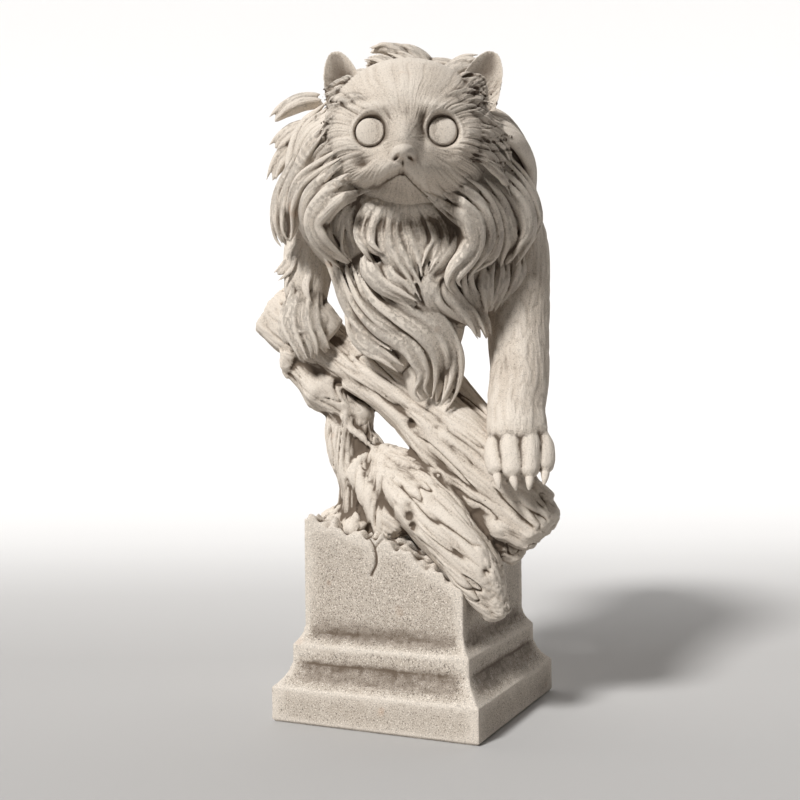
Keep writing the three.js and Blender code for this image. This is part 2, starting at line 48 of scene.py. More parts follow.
# numbers and noise
def mix(low, high, share):
    return low + (high - low) * share


def ease(value, low, high):
    share = np.clip((value - low) / (high - low), 0, 1)
    return share * share * (3 - 2 * share)


def latticeValue(cell, seed):
    mixed = (cell[..., 0] * 73856093) ^ (cell[..., 1] * 19349663) ^ (cell[..., 2] * 83492791) ^ (seed * 2654435)
    mixed = (mixed ^ (mixed >> 13)) * 1274126177
    mixed = (mixed ^ (mixed >> 16)) & 0xFFFF
    return mixed / 32767.5 - 1


def softNoise(points, size, seed=1):
    scaled = np.asarray(points, float) / size
    cell = np.floor(scaled).astype(np.int64)
    part = scaled - cell
    part = part * part * (3 - 2 * part)
    total = 0
    for corner in np.ndindex(2, 2, 2):
        weight = np.prod(np.where(corner, part, 1 - part), axis=-1)
        total = total + weight * latticeValue(cell + corner, seed)
    return total


def ridges(points, size, seed=1):  # 0 in sharp furrows, 1 on broad crests
    return np.clip(np.abs(softNoise(points, size, seed)) * 2.2, 0, 1) ** 0.7


# bodies laid along a curve
def alongCurve(path, t):  # centripetal Catmull-Rom
    knots = np.array(path, float)
    knots = np.vstack([2 * knots[0] - knots[1], knots, 2 * knots[-1] - knots[-2]])
    place = np.clip(t, 0, 1) * (len(path) - 1)
    i = np.minimum(place.astype(int), len(path) - 2)
    w = (place - i)[:, None]
    p = [knots[i + k] for k in range(4)]
    gap = [np.maximum(np.linalg.norm(p[k + 1] - p[k], axis=1) ** 0.5, 1e-4)[:, None] for k in range(3)]
    lean1 = ((p[1] - p[0]) / gap[0] - (p[2] - p[0]) / (gap[0] + gap[1]) + (p[2] - p[1]) / gap[1]) * gap[1]
    lean2 = ((p[2] - p[1]) / gap[1] - (p[3] - p[1]) / (gap[1] + gap[2]) + (p[3] - p[2]) / gap[2]) * gap[1]
    return (p[1] + lean1 * w + (3 * (p[2] - p[1]) - 2 * lean1 - lean2) * w ** 2
            + (2 * (p[1] - p[2]) + lean1 + lean2) * w ** 3)


def unit(vectors):
    return vectors / np.maximum(np.linalg.norm(vectors, axis=-1, keepdims=True), 1e-9)


def closedRings(rings, first, last):  # rings of points between two end points, as one closed body
    count, sides = rings.shape[:2]
    verts = np.vstack([first[None], rings.reshape(-1, 3), last[None]])
    ring, side = np.meshgrid(np.arange(count - 1), np.arange(sides), indexing="ij")
    after = (side + 1) % sides
    a, b = 1 + ring * sides + side, 1 + ring * sides + after
    quads = np.stack([a, b, b + sides, a + sides], -1).reshape(-1, 4)
    k = np.arange(sides)
    topFan = np.stack([np.zeros(sides, int), 1 + (k + 1) % sides, 1 + k], -1)
    base = 1 + (count - 1) * sides
    lowFan = np.stack([np.full(sides, len(verts) - 1), base + k, base + (k + 1) % sides], -1)
    return verts, [quads, topFan, lowFan]


def sweep(path, core, angles, rows, section, spacing=None):
    step = np.arange(rows + 1) / rows
    t = spacing(step) if spacing else step
    centre = alongCurve(path, t)
    tangent = unit(alongCurve(path, t + 0.01) - alongCurve(path, t - 0.01))
    out = centre - np.array(core, float)
    out = unit(out - tangent * np.sum(out * tangent, axis=1, keepdims=True))
    side = np.cross(out, tangent)
    length = np.concatenate([[0], np.cumsum(np.linalg.norm(np.diff(centre, axis=0), axis=1))])
    across, deep = section(t[1:-1, None], angles[None, :], length[1:-1, None])
    rings = centre[1:-1, None] + side[1:-1, None] * across[..., None] + out[1:-1, None] * deep[..., None]
    verts, faces = closedRings(rings, centre[0], centre[-1])
    run = np.broadcast_to(length[1:-1, None], across.shape)
    lines = [np.concatenate([[0], across.ravel(), [0]]), np.concatenate([[0], run.ravel(), [length[-1]]])]
    return {"verts": verts, "faces": faces, "lines": np.stack(lines, -1)}


def along(values, t):
    return np.interp(t, np.linspace(0, 1, len(values)), values)


strandId = [0]


def nextStrand(form, hair):  # tells the strands of one lock from another's, and how hairy they are
    strandId[0] += 1
    form["lines"][:, 0] += strandId[0] * 23.7
    form["hair"] = hair
    return form


# a lock of hair: several strands side by side, swelling from the root and running out to a point
lockAngles = np.concatenate([np.linspace(0, np.pi, 44), np.linspace(np.pi, 2 * np.pi, 12)[1:-1]])


def lock(path, core, across, deep, strandWidth=1.5, furrow=0.22, root=0.3):
    count = max(2, round(2 * across / strandWidth))
    heights = dice.uniform(0.8, 1.0, count + 2)
    path = np.array(path, float)
    sunk = 1.4 * deep * (1 - ease(np.linspace(0, 1, len(path)), -0.1, 1.4 * root))
    path = path - unit(path - np.array(core, float)) * sunk[:, None]
    shift, sway = dice.uniform(-0.4, 0.4), dice.uniform(0.15, 0.5)

    def section(t, angle, run):
        swell = np.sin(np.pi * t ** 0.75) ** 0.75
        thin = mix(0.25, 1, ease(t, 0, root))
        u = np.cos(angle)
        place = (u + 1) / 2 * count + shift + sway * np.sin(5 * t + shift * 9)
        crest = np.abs(np.sin(np.pi * place)) ** 0.62
        height = heights[np.clip(np.floor(place).astype(int) + 1, 0, count + 1)]
        outer = (1 - furrow + furrow * crest) * mix(1, height, 0.6)
        rise = np.where(np.sin(angle) > 0, outer, 1)
        return across * swell * u, deep * swell * thin * np.sin(angle) * rise

    rows = 26
    return nextStrand(sweep(path, core, lockAngles, rows, section), 1)


def fan(first, last, count, core, across, deep, jitter=0.9, stray=1, **finish):
    first, last = np.array(first, float), np.array(last, float)
    locks = []
    for k in range(count):
        share = k / (count - 1) if count > 1 else 0.5
        loose = dice.normal(0, jitter, first.shape) * np.linspace(0.3, 1, len(first))[:, None]
        path = mix(first, last, share) + loose
        locks.append(lock(path, core, across * dice.uniform(0.85, 1.1), deep, **finish))
        for _ in range(stray):
            offset = unit(last.mean(0) - first.mean(0) + 1e-3) * dice.uniform(-0.8, 0.8) * across
            curl = dice.normal(0, jitter * 1.3, first.shape) * np.linspace(0.2, 1, len(first))[:, None]
            out = unit(path - np.array(core, float)) * deep * 0.45
            locks.append(lock(path + offset + curl * 0.6 + out, core, across * 0.42, deep * 0.62, **finish))
    return locks


def pelt(centre, radii, rows, span, count, reach, across, deep, lift, **finish):
    locks = []
    for r, row in enumerate(rows):
        for k in range(count):
            turn = math.radians(mix(-span, span, (k + (r % 2) / 2 + dice.uniform(-0.15, 0.15)) / (count - 0.5)))
            share = np.array([0, 0.35, 0.7, 1])
            polar = np.radians(row + dice.uniform(-3, 3) + reach * share)
            rise = mix(-deep, lift, share)
            bend = turn + dice.normal(0, 0.05) * share
            path = np.stack([
                centre[0] + (radii[0] + rise) * np.sin(polar) * np.sin(bend),
                centre[1] - (radii[1] + rise) * np.cos(polar),
                centre[2] + (radii[2] + rise) * np.sin(polar) * np.cos(bend),
            ], -1)
            locks.append(lock(path, centre, across, deep, **finish))
    return locks


# limbs of the body, and of the wood
def limb(path, sizes, core=(0, 400, 100), blunt=0.08, sides=64, rows=70, bark=0.0, fur=0.0, hair=0.0,
         square=2.0):
    def cap(t):
        return np.sqrt(1 - (1 - np.minimum(1, t / blunt)) ** 2)

    def section(t, angle, run):
        size = along(sizes, t)
        knobs = np.sin(3 * angle + 5 * t) + 0.7 * np.sin(5 * angle - 7 * t + 1) + 0.5 * np.sin(17 * t)
        half = size * cap(t) * cap(1 - t) * (1 + bark * knobs)
        corner = np.abs(np.cos(angle)) ** square + np.abs(np.sin(angle)) ** square
        half = half * corner ** (-1 / square)
        if fur:  # short hair lying along the limb
            turned, runs = np.broadcast_to(angle, half.shape), np.broadcast_to(run, half.shape)
            strands = np.stack([np.cos(turned) * size, np.sin(turned) * size, runs / 5], -1)
            half = half - fur * (1 - ridges(strands, 1.7, 9)) + fur * softNoise(strands, 6, 10)
        return half * np.cos(angle), half * np.sin(angle)

    angles = np.arange(sides) * 2 * np.pi / sides
    form = sweep(path, core, angles, rows, section, lambda t: (1 - np.cos(np.pi * t)) / 2)
    return nextStrand(form, hair)


def egg(centre, radii, sides=72, rows=48, fur=0.0, hair=0.0):
    polar = np.pi * np.arange(1, rows)[:, None] / rows
    turn = 2 * np.pi * np.arange(sides)[None, :] / sides
    ball = np.stack([np.sin(polar) * np.cos(turn), -np.cos(polar) * np.ones_like(turn),
                     np.sin(polar) * np.sin(turn)], -1)
    radii, centre = np.array(radii, float), np.array(centre, float)
    rings = ball * radii + centre
    if fur:
        strands = ball * radii * [1, 0.2, 1]
        rings = rings - ball * (fur * (1 - ridges(strands, 1.9, 12)))[..., None]
    verts, faces = closedRings(rings, centre - [0, radii[1], 0], centre + [0, radii[1], 0])
    runs = np.concatenate([[0], (polar * np.ones_like(turn) * radii.mean()).ravel(), [np.pi * radii.mean()]])
    spread = np.concatenate([[0], (turn * np.ones_like(polar) * radii.mean()).ravel(), [0]])
    return nextStrand({"verts": verts, "faces": faces, "lines": np.stack([spread, runs], -1)}, hair)


# the face
face = {
    "centre": (-2, -38, 258), "radii": (38, 36, 35), "middle": -2.5, "eyeLevel": 255.5, "eyeSpread": 15,
    "eyeRadius": 6.0, "eyePlane": -69.4, "eyeBulge": 1.3,
    "forms": [  # place from between the eyes, half sizes, how far it stands out, how squarely
        ((-1, -12), (12.5, 9.5), 8, 2),  # muzzle
        ((-1, -3), (5.2, 9), 4.6, 2),  # bridge of the nose
        ((-1.4, -11), (4.5, 2.7), 3.4, 3),  # nose
        ((-8.5, -16.5), (8, 4.6), 4.2, 2), ((7.5, -18.5), (8.5, 5.4), 4.8, 2),  # whisker pads
        ((-15, -1), (7, 7), -3.2, 2), ((15, -1), (7, 7), -3.2, 2),  # eye sockets
        ((-8, -2), (1.8, 6), -1.4, 2), ((7, 0), (2.4, 8), -2.8, 2),  # beside the bridge
        ((-15, 10), (9, 3.6), 2.6, 2), ((15, 10), (9, 3.6), 2.6, 2),  # brows
        ((0, 17), (17, 9), 2, 2), ((0, 7), (4, 6), -0.8, 2),  # forehead, and the dip above the bridge
        ((-26, -5), (8, 11), 5, 2), ((26.5, -5), (8, 11), 5.4, 2),  # cheeks
        ((-24, -17), (8, 7), 2.5, 2), ((22, -20), (8, 8), 3.5, 2),  # jowls
        ((-19.5, -12.5), (4, 2.6), -2, 2),  # dimple behind the left pad
    ],
    "mouth": [  # the edge of the upper lip, from left to right
        (-34, -13), (-27, -17), (-22.9, -19), (-18.6, -20.3), (-11.9, -19.8), (-7.4, -18.6), (-2.9, -17),
        (-0.9, -17.2), (3, -20.8), (8.1, -24.2), (14.7, -26.2), (18.6, -28.5), (26, -32),
    ],
    "lipDrop": 7.5, "chin": ((0.8, -25), (12, 7.2), 4.2, 3),
    "voxel": 0.33, "triangles": 190000,
}


def swell(x, z, place, size, out, square=2):
    return out * np.exp(-np.abs((x - place[0]) / size[0]) ** square - np.abs((z - place[1]) / size[1]) ** square)


def faceRelief(x, z):
    total = sum(swell(x, z, *form) for form in face["forms"])
    lipX, lipZ = np.array(face["mouth"]).T
    under = ease(np.interp(x, lipX, lipZ) - z, -0.7, 1.0) * ease(x, -27, -23) * ease(-x, -22, -17)
    return total - under * face["lipDrop"] + under * swell(x, z, *face["chin"])


def headForm():
    sides, rows = ((340, 220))
    polar = 1.95 * (np.arange(1, rows)[:, None] / rows) ** 1.2
    turn = 2 * np.pi * np.arange(sides)[None, :] / sides
    x = face["centre"][0] + face["radii"][0] * np.sin(polar) * np.cos(turn)
    z = face["centre"][2] + face["radii"][2] * np.sin(polar) * np.sin(turn)
    front = ease(np.cos(polar), -0.1, 0.5)
    fx, fz = x - face["middle"], z - face["eyeLevel"]
    y = face["centre"][1] - face["radii"][1] * np.cos(polar) - front * faceRelief(fx, fz)
    outward = np.abs(fx) - face["eyeSpread"]
    eyeGap = np.hypot(outward, fz)
    level = face["eyePlane"] + 0.22 * outward
    y = mix(y, level, (1 - ease(eyeGap, 5.8, 8.8)) * front)
    centre = np.array(face["centre"], float)
    rings = np.stack([x, y, z], -1)
    noseTip = centre - [0, face["radii"][1], 0]
    noseTip[1] -= faceRelief(np.array(centre[0] - face["middle"]), np.array(centre[2] - face["eyeLevel"]))
    verts, faces = closedRings(rings, noseTip, rings[-1].mean(0))
    way, reach = np.arctan2(fz + 6, fx), np.hypot(fx, fz + 6)
    spread = np.concatenate([[0], (way * 24).ravel(), [0]])
    runs = np.concatenate([[0], reach.ravel(), [0]])
    return nextStrand({"verts": verts, "faces": faces, "lines": np.stack([spread, runs], -1)}, 0.7)


def eyeForm(side):
    centre = (face["middle"] + side * face["eyeSpread"], face["eyePlane"] + 0.3, face["eyeLevel"])
    return egg(centre, (face["eyeRadius"], face["eyeBulge"], face["eyeRadius"]))


def ear(base, tip, half, cup):
    base, tip = np.array(base, float), np.array(tip, float)

    def section(t, angle, run):
        width = half * np.sqrt(np.clip(1 - t ** 2.2, 0, 1)) * mix(1.0, 0.85, t)
        u = np.cos(angle)
        wall = 1.25 * np.sin(angle) * np.sqrt(np.clip(1 - t ** 6, 0, 1))
        return width * u, -cup * (1 - t) ** 0.6 * (1 - u * u) + wall

    path = [mix(base, tip, -0.3), mix(base, tip, 0.45), tip]
    angles = np.arange(48) * 2 * np.pi / 48
    return nextStrand(sweep(path, mix(base, tip, 0.5) + [0, 60, 0], angles, 40, section), 0.5)


manePiece = {
    "voxel": 0.42, "triangles": 196000,
    "cores": {"ruff": (-2, 0, 235), "beard": (-2, 0, 235), "breast": (2, 10, 180), "elbow": (-30, 10, 220),
              "foot": (-46, 10, 190), "tail": (-40, 60, 262), "back": (-4, 40, 250)},
    "thickness": {"ruff": 1.0, "beard": 0.9, "breast": 0.8, "elbow": 0.6, "foot": 0.8, "tail": 0.8, "back": 0.8},
}
coatLocks = [  # where each lock grows, its half width, and its run from root to tip
    ("ruff", 3.3, [(-41, -25, 277), (-47, -27, 261), (-53.5, -27, 248), (-59, -26, 237),
     (-60.5, -27, 227), (-59, -26, 219), (-57, -26, 214)]),
    ("ruff", 3.1, [(-35, -57, 263), (-44, -44, 253), (-52, -35, 242), (-56, -31, 232),
     (-57, -30, 222), (-55, -29, 215)]),
    ("ruff", 2.9, [(-28, -65, 249), (-39, -52, 245), (-48, -42, 239), (-52, -36, 231),
     (-53, -32, 222), (-55, -31, 215)]),
    ("ruff", 3.7, [(-26, -64, 243), (-35, -55, 239), (-43, -47, 233), (-46, -42, 226),
     (-46, -36, 219), (-44, -30, 214)]),
    ("ruff", 4.5, [(-15, -59, 239), (-30, -58, 233), (-37, -53, 228), (-41, -48, 222),
     (-39, -46, 215), (-34, -42, 209), (-28, -38, 204)]),
    ("beard", 2.1, [(-26, -52, 232), (-30, -48, 225), (-32, -44, 217), (-30, -41, 210), (-27, -38, 205)]),
    ("beard", 2.1, [(-21, -54, 231), (-26, -50, 224), (-27, -46, 217), (-25, -44, 210)]),
    ("beard", 4.5, [(-15, -55, 228), (-19, -53, 222), (-20, -52, 216), (-18, -52, 211), (-14, -51, 206)]),
    ("beard", 3.7, [(-11, -56, 228), (-13, -53, 219), (-12, -51, 211), (-9, -51, 204), (-4, -51, 196),
     (2, -50, 186)]),
    ("beard", 2.9, [(-7, -57, 228), (-9, -54, 219), (-8, -52, 211), (-4, -52, 203), (0, -51, 195),
     (3, -49, 185)]),
    ("beard", 2.7, [(-4, -57, 228), (-4, -54, 219), (-2, -52, 211), (0, -52, 204), (2, -52, 195)]),
    ("beard", 2.7, [(0, -57, 228), (2, -54, 220), (3, -52, 213), (4, -52, 205), (5, -53, 197)]),
    ("beard", 2.7, [(3, -57, 228), (7, -54, 222), (9, -52, 215), (7, -52, 208), (4, -53, 201)]),
    ("beard", 2.9, [(7, -56, 228), (12, -53, 222), (14, -51, 216), (13, -51, 209), (9, -52, 203),
     (6, -53, 198)]),
    ("beard", 3.1, [(10, -54, 228), (16, -52, 222), (19, -50, 215), (17, -50, 209), (12, -51, 202),
     (7, -51, 195), (7, -50, 190)]),
    ("beard", 3.5, [(11, -52, 202), (7, -51, 194), (9, -48, 187), (15, -44, 181), (23, -38, 177)]),
    ("beard", 3.7, [(-22, -44, 208), (-19, -47, 201), (-13, -49, 194), (-6, -50, 190), (1, -50, 185)]),
    ("beard", 2.9, [(-14, -49, 206), (-10, -51, 198), (-5, -51, 193), (0, -51, 188)]),
    ("ruff", 4.1, [(3, -70, 235), (12, -63, 230), (19, -59, 225), (24, -55, 220), (25, -53, 213),
     (22, -54, 206), (17, -55, 200), (15, -53, 195), (18, -50, 191)]),
    ("ruff", 3.3, [(12, -65, 234), (22, -57, 229), (29, -52, 222), (31, -48, 214), (28, -49, 208),
     (23, -49, 202), (20, -50, 196)]),
    ("ruff", 2.9, [(18, -63, 238), (28, -55, 232), (33, -48, 224), (35, -44, 215), (33, -43, 208),
     (28, -45, 204), (22, -49, 200)]),
    ("ruff", 3.5, [(28, -53, 239), (35, -47, 232), (39, -41, 224), (41, -36, 215), (39, -32, 208),
     (38, -30, 204)]),
    ("ruff", 3.7, [(33, -48, 244), (44, -40, 236), (49, -35, 227), (50, -33, 219), (46, -33, 212),
     (41, -32, 204)]),
    ("ruff", 2.9, [(37, -42, 253), (47, -34, 243), (53, -29, 232), (54, -27, 224), (51, -27, 217),
     (45, -26, 210)]),
    ("breast", 3.7, [(14, -50, 201), (14, -48, 192), (19, -44, 185), (25, -40, 179), (29, -38, 171)]),
    ("breast", 2.9, [(24, -47, 203), (23, -44, 194), (27, -38, 185), (31, -33, 177), (32, -31, 171)]),
    ("breast", 2.9, [(34, -35, 207), (31, -38, 197), (31, -38, 189), (32, -36, 182)]),
    ("breast", 3.1, [(41, -30, 207), (39, -31, 197), (36, -31, 190), (33, -31, 183)]),
    ("breast", 2.9, [(48, -26, 211), (47, -26, 201), (43, -26, 192), (38, -26, 185)]),
    ("breast", 3.1, [(-41, -33, 213), (-35, -30, 201), (-30, -30, 189), (-24, -32, 179),
     (-16, -36, 172), (-7, -40, 166)]),
    ("breast", 3.7, [(-33, -36, 208), (-28, -36, 194), (-22, -38, 184), (-14, -40, 176),
     (-5, -42, 170), (1, -41, 163), (3, -39, 156), (2, -37, 150), (5, -34, 144)]),
    ("breast", 3.3, [(-30, -23, 189), (-27, -29, 177), (-21, -33, 169), (-12, -35, 164), (-4, -35, 158)]),
    ("breast", 4.1, [(-24, -41, 205), (-16, -44, 190), (-6, -45, 182), (4, -45, 174), (10, -42, 165),
     (11, -37, 155), (9, -32, 142)]),
    ("breast", 3.9, [(-15, -48, 196), (-4, -48, 187), (7, -46, 180), (14, -42, 171), (17, -39, 162),
     (15, -38, 151), (11, -38, 141)]),
    ("breast", 3.1, [(-7, -49, 189), (5, -46, 183), (14, -43, 177), (18, -39, 171)]),
    ("breast", 2.9, [(-30, -37, 206), (-23, -40, 190), (-14, -42, 180), (-3, -43, 172), (4, -43, 165)]),
    ("elbow", 3.3, [(-50, -12, 222), (-54, -13, 214), (-57, -14, 207), (-63, -14, 202)]),
    ("elbow", 5.4, [(-49, -11, 211), (-51, -12, 202), (-51, -13, 194), (-47, -13, 186)]),
    ("elbow", 2.9, [(-53, -12, 219), (-55, -12, 210), (-57, -12, 201), (-56, -11, 192)]),
    ("back", 3.7, [(4, 6, 301), (-5, 6, 308), (-13, 6, 311), (-20, 6, 309)]),
    ("back", 3.7, [(12, 8, 299), (5, 8, 306), (-2, 8, 310), (-8, 8, 312)]),
    ("back", 2.9, [(8, 4, 294), (18, 4, 300), (25, 4, 304), (32, 4, 305)]),
    ("back", 3.3, [(-6, 4, 293), (-11, 4, 299), (-17, 4, 302), (-22, 4, 302)]),
    ("back", 3.3, [(1, 10, 301), (9, 10, 304), (16, 10, 304), (22, 10, 302)]),
    ("back", 3.0, [(-2, -12, 288), (-8, -6, 297), (-15, -1, 303), (-22, 2, 304)]),
    ("back", 3.2, [(6, -12, 288), (2, -5, 298), (-4, 0, 304), (-10, 3, 307)]),
    ("back", 3.0, [(12, -12, 287), (17, -6, 295), (23, -1, 300), (29, 2, 302)]),
    ("back", 2.8, [(-14, -12, 284), (-19, -7, 292), (-25, -3, 296), (-30, 0, 296)]),
    ("back", 2.8, [(20, -12, 283), (26, -7, 290), (32, -3, 295), (38, 0, 296)]),
]


def layLocks(rows):
    forms = []
    for name, half, path in rows:
        core = manePiece["cores"][name]
        across, deep = half * 1.3, half * manePiece["thickness"][name] + 0.6
        path = np.array(path, float)
        if path[0][2] > 224 and name == "beard":  # grows from behind the chin
            path = np.vstack([path[0] * [0.85, 0, 0] + [0, -44, path[0][2] + 7], path])
        root = 0.3 if name in ("ruff", "breast") else 0.1
        forms.append(lock(path, core, across, deep, root=root))
        lift = unit(path - np.array(core, float)) * deep * 0.5
        sideways = unit(np.cross(np.gradient(path, axis=0), lift))
        for place in (-0.55, 0.45):  # finer strands that lie on it
            wander = dice.normal(0, 0.45, path.shape) * np.linspace(0.2, 1, len(path))[:, None]
            offset = sideways * across * (place + dice.uniform(-0.15, 0.15))
            forms.append(lock(path + lift + offset + wander, core, across * 0.42, deep * 0.42, 1.2, root=root))
    return forms


def faceForms():
    mane = manePiece["cores"]["ruff"]
    wisp = {"across": 1.7, "deep": 1.3, "strandWidth": 1.1, "root": 0.5}
    curls = {"across": 1.9, "deep": 1.7, "jitter": 0.8, "strandWidth": 1.2, "root": 0.4}
    coat = [
        # over the brows and out to the temples
        fan([(7, -71, 262), (13, -69, 269), (22, -63, 274), (33, -50, 276)],
            [(19, -68, 264), (26, -63, 265), (34, -54, 262), (42, -41, 256)], 9, mane, **wisp),
        fan([(-12, -71, 264), (-19, -68, 269), (-27, -61, 272), (-36, -48, 270)],
            [(-24, -67, 262), (-31, -60, 262), (-38, -50, 258), (-44, -38, 252)], 8, mane, **wisp),
        # behind the eyes
        fan([(22, -66, 259), (30, -59, 259), (38, -48, 255), (44, -37, 248)],
            [(21, -68, 247), (30, -61, 244), (38, -50, 238), (44, -39, 230)], 8, mane, **wisp),
        fan([(-27, -64, 258), (-34, -57, 256), (-40, -47, 252), (-46, -37, 246)],
            [(-26, -66, 246), (-33, -60, 242), (-40, -50, 236), (-46, -40, 228)], 8, mane, **wisp),
        # curls across the ears' bases
        fan([(12, -66, 267), (20, -59, 272), (27, -53, 273), (33, -48, 269)],
            [(18, -55, 280), (24, -51, 283), (29, -48, 281), (33, -45, 276)], 7, mane, **curls),
        fan([(-22, -54, 267), (-30, -49, 271), (-38, -42, 268)],
            [(-21, -50, 280), (-29, -45, 283), (-38, -39, 281)], 6, mane, **curls),
    ]
    return [headForm(), eyeForm(-1), eyeForm(1),
            ear((-30, -34, 281), (-34.5, -30, 300), 9.2, 6.5), ear((29, -34, 280), (36.5, -29, 299.5), 10.2, 7.5),
            *[one for group in coat for one in group]]


def maneForms():
    outer = {"across": 4.8, "deep": 3.2, "strandWidth": 1.5, "stray": 0}
    mane = manePiece["cores"]["ruff"]
    forms = [
        egg((-2, -14, 240), (54, 38, 48)), egg((-2, 6, 254), (55, 36, 40)), egg((-7, 8, 278), (27, 19, 27)),
        egg((3, -18, 203), (35, 32, 31)), egg((1, -21, 181), (22, 21, 26)), egg((3, -22, 162), (9, 13, 24)),
    ]
    # outer mane beside the cheeks
    forms += fan([(32, -10, 286), (43, -8, 273), (52, -8, 257), (56, -10, 236)],
                 [(34, -52, 264), (45, -38, 257), (52, -26, 248), (54, -22, 234)], 6, mane, **outer)
    forms += fan([(-40, -14, 286), (-49, -14, 270), (-55.5, -14, 254), (-58, -16, 238)],
                 [(-36, -56, 264), (-43, -44, 256), (-50, -38, 245), (-53, -30, 233)], 6, mane, **outer)
    forms += layLocks(coatLocks)
    forms += pelt((-2, 6, 254), (54, 36, 39), (66, 80, 94, 108, 122), 112, 17, 46, 3.4, 1.8, 0.9, strandWidth=1.2)
    return forms


bodyPiece = {"voxel": 0.5, "triangles": 190000, "haunchCore": (0, 48, 240)}
bodyLocks = [
    ("foot", 2.8, [(-53, -15, 198), (-55, -17, 189), (-56, -19, 179), (-53, -20, 170), (-49, -19, 162)]),
    ("foot", 2.8, [(-49, -16, 196), (-51, -18, 187), (-50, -20, 178), (-47, -20, 170), (-46, -18, 163)]),
    ("foot", 2.6, [(-46, -14, 195), (-46, -17, 186), (-45, -19, 178), (-42, -19, 171), (-40, -17, 166)]),
    ("foot", 2.4, [(-57, -11, 194), (-59, -14, 185), (-60, -16, 177), (-58, -16, 170)]),
    ("tail", 4.5, [(-44, 26, 293), (-54, 26, 291), (-62, 26, 287), (-68, 26, 281)]),
    ("tail", 4.1, [(-49, 26, 281), (-57, 26, 277), (-63, 26, 273), (-68, 26, 268)]),
    ("tail", 3.7, [(-53, 24, 270), (-60, 24, 266), (-65, 24, 260), (-69, 24, 252)]),
    ("tail", 3.3, [(-54, 24, 260), (-59, 24, 254), (-62, 24, 248), (-64, 24, 243)]),
]


def paw(wrist, knuckles, tips, size, clawTips):
    forms = []
    for k, (knuckle, tip) in enumerate(zip(knuckles, tips)):
        root = mix(np.array(wrist, float), np.array(knuckle, float), 0.3) + [0, 4, 3]
        path = [root, knuckle, mix(np.array(knuckle), np.array(tip), 0.6), tip]
        forms.append(limb(path, [size, size * 1.05, size, size * 0.72], core=wrist, blunt=0.16, fur=0.3, hair=0.8))
        bend = mix(np.array(tip, float), np.array(clawTips[k], float), 0.5) + [0, -0.8, 0]
        forms.append(limb([tip, bend, clawTips[k]], [2.1, 1.5, 0.5], core=wrist, sides=20, rows=20))
    return forms


def haunchHair(middle, side):  # from the front of a haunch to its back
    front = [(middle + side * out, y, z) for out, y, z in ((4, 30, 262), (15, 34, 244), (14, 40, 222))]
    back = [(middle + side * out, y, z) for out, y, z in ((4, 66, 258), (14, 68, 242), (10, 68, 220))]
    return fan(front, back, 9, bodyPiece["haunchCore"], 3, 1.8, strandWidth=1.2)


def bodyForms():
    fur = {"fur": 0.6, "hair": 1}
    forms = [
        egg((-2, 6, 254), (53, 34, 38)), egg((3, -14, 205), (32, 27, 29)),
        egg((-4, 36, 262), (40, 42, 34), **fur), egg((-5, 60, 258), (36, 34, 34), **fur),
        egg((28, 48, 236), (15, 26, 34), **fur), egg((-30, 48, 238), (14, 26, 32), **fur),
        limb([(38, 4, 240), (45, -6, 217), (47, -12, 192), (47, -20, 172), (46.5, -28, 154), (44, -38, 140),
              (44, -46, 129), (44, -52, 119)], [16, 17, 15.5, 14, 13.5, 13, 13.2, 9], sides=120, rows=150, **fur),
        limb([(-40, 0, 236), (-48, -4, 212), (-50, -8, 192), (-49, -12, 180), (-48, -14, 172)],
             [15, 13, 10, 10, 10], sides=90, rows=90, **fur),
        limb([(-50, -8, 188), (-44, -10, 181), (-37, -9, 175)], [9, 9, 7], **fur),
        limb([(26, 58, 232), (22, 64, 212), (14, 60, 192), (9, 50, 178)], [12, 9, 7, 8], **fur),
        limb([(-28, 58, 236), (-26, 64, 214), (-22, 52, 192), (-19, 40, 176)], [12, 9, 7, 8], **fur),
        limb([(-8, 76, 260), (-30, 74, 266), (-44, 56, 272), (-50, 36, 268), (-50, 26, 260), (-48, 20, 252)],
             [12, 14, 15, 14, 13, 8], sides=100, rows=90, **fur),
        egg((9, 46, 176), (9, 14, 7), **fur), egg((-18, 34, 173), (9, 14, 7), **fur),
        *paw((44, -40, 138), [(34, -52, 123), (40.5, -55.5, 126), (48, -55.5, 126), (54.5, -52, 124)],
             [(34, -59, 113), (40.5, -63, 112), (47.5, -63, 112), (54.5, -59, 114)], 4.6,
             [(35, -62, 107), (41.7, -65, 106.5), (46.9, -65, 106.5), (53.5, -62, 108.5)]),
    ]
    forms += layLocks(bodyLocks)
    forms += fan([(-40, 66, 280), (-54, 70, 279), (-62, 66, 272)], [(-50, 32, 266), (-58, 34, 258), (-61, 34, 250)],
                 7, (-40, 40, 260), 4.6, 3.4)
    forms += pelt((-5, 52, 259), (39, 40, 34), (58, 72, 86, 100, 114, 128), 122, 17, 46, 3.4, 1.9, 0.9,
                  strandWidth=1.2)
    return forms + haunchHair(28, 1) + haunchHair(-30, -1)


woodPiece = {
    "voxel": 0.5, "triangles": 195000, "bark": 0.05, "blend": 9,
    "logGrain": (0.741, -0.276, -0.612), "stumpGrain": (0.1, 0, 0.995),  # which way each one's grain runs
    "hollows": [((-35, -20, 168), 2.2, 5), ((-1, -28, 134), 2.0, 4), ((-5, -47, 99), 3.2, 7), ((-5, -47, 94), 3.4, 8),
                ((-3, -46, 89), 2.8, 6)],  # place, width, depth
}


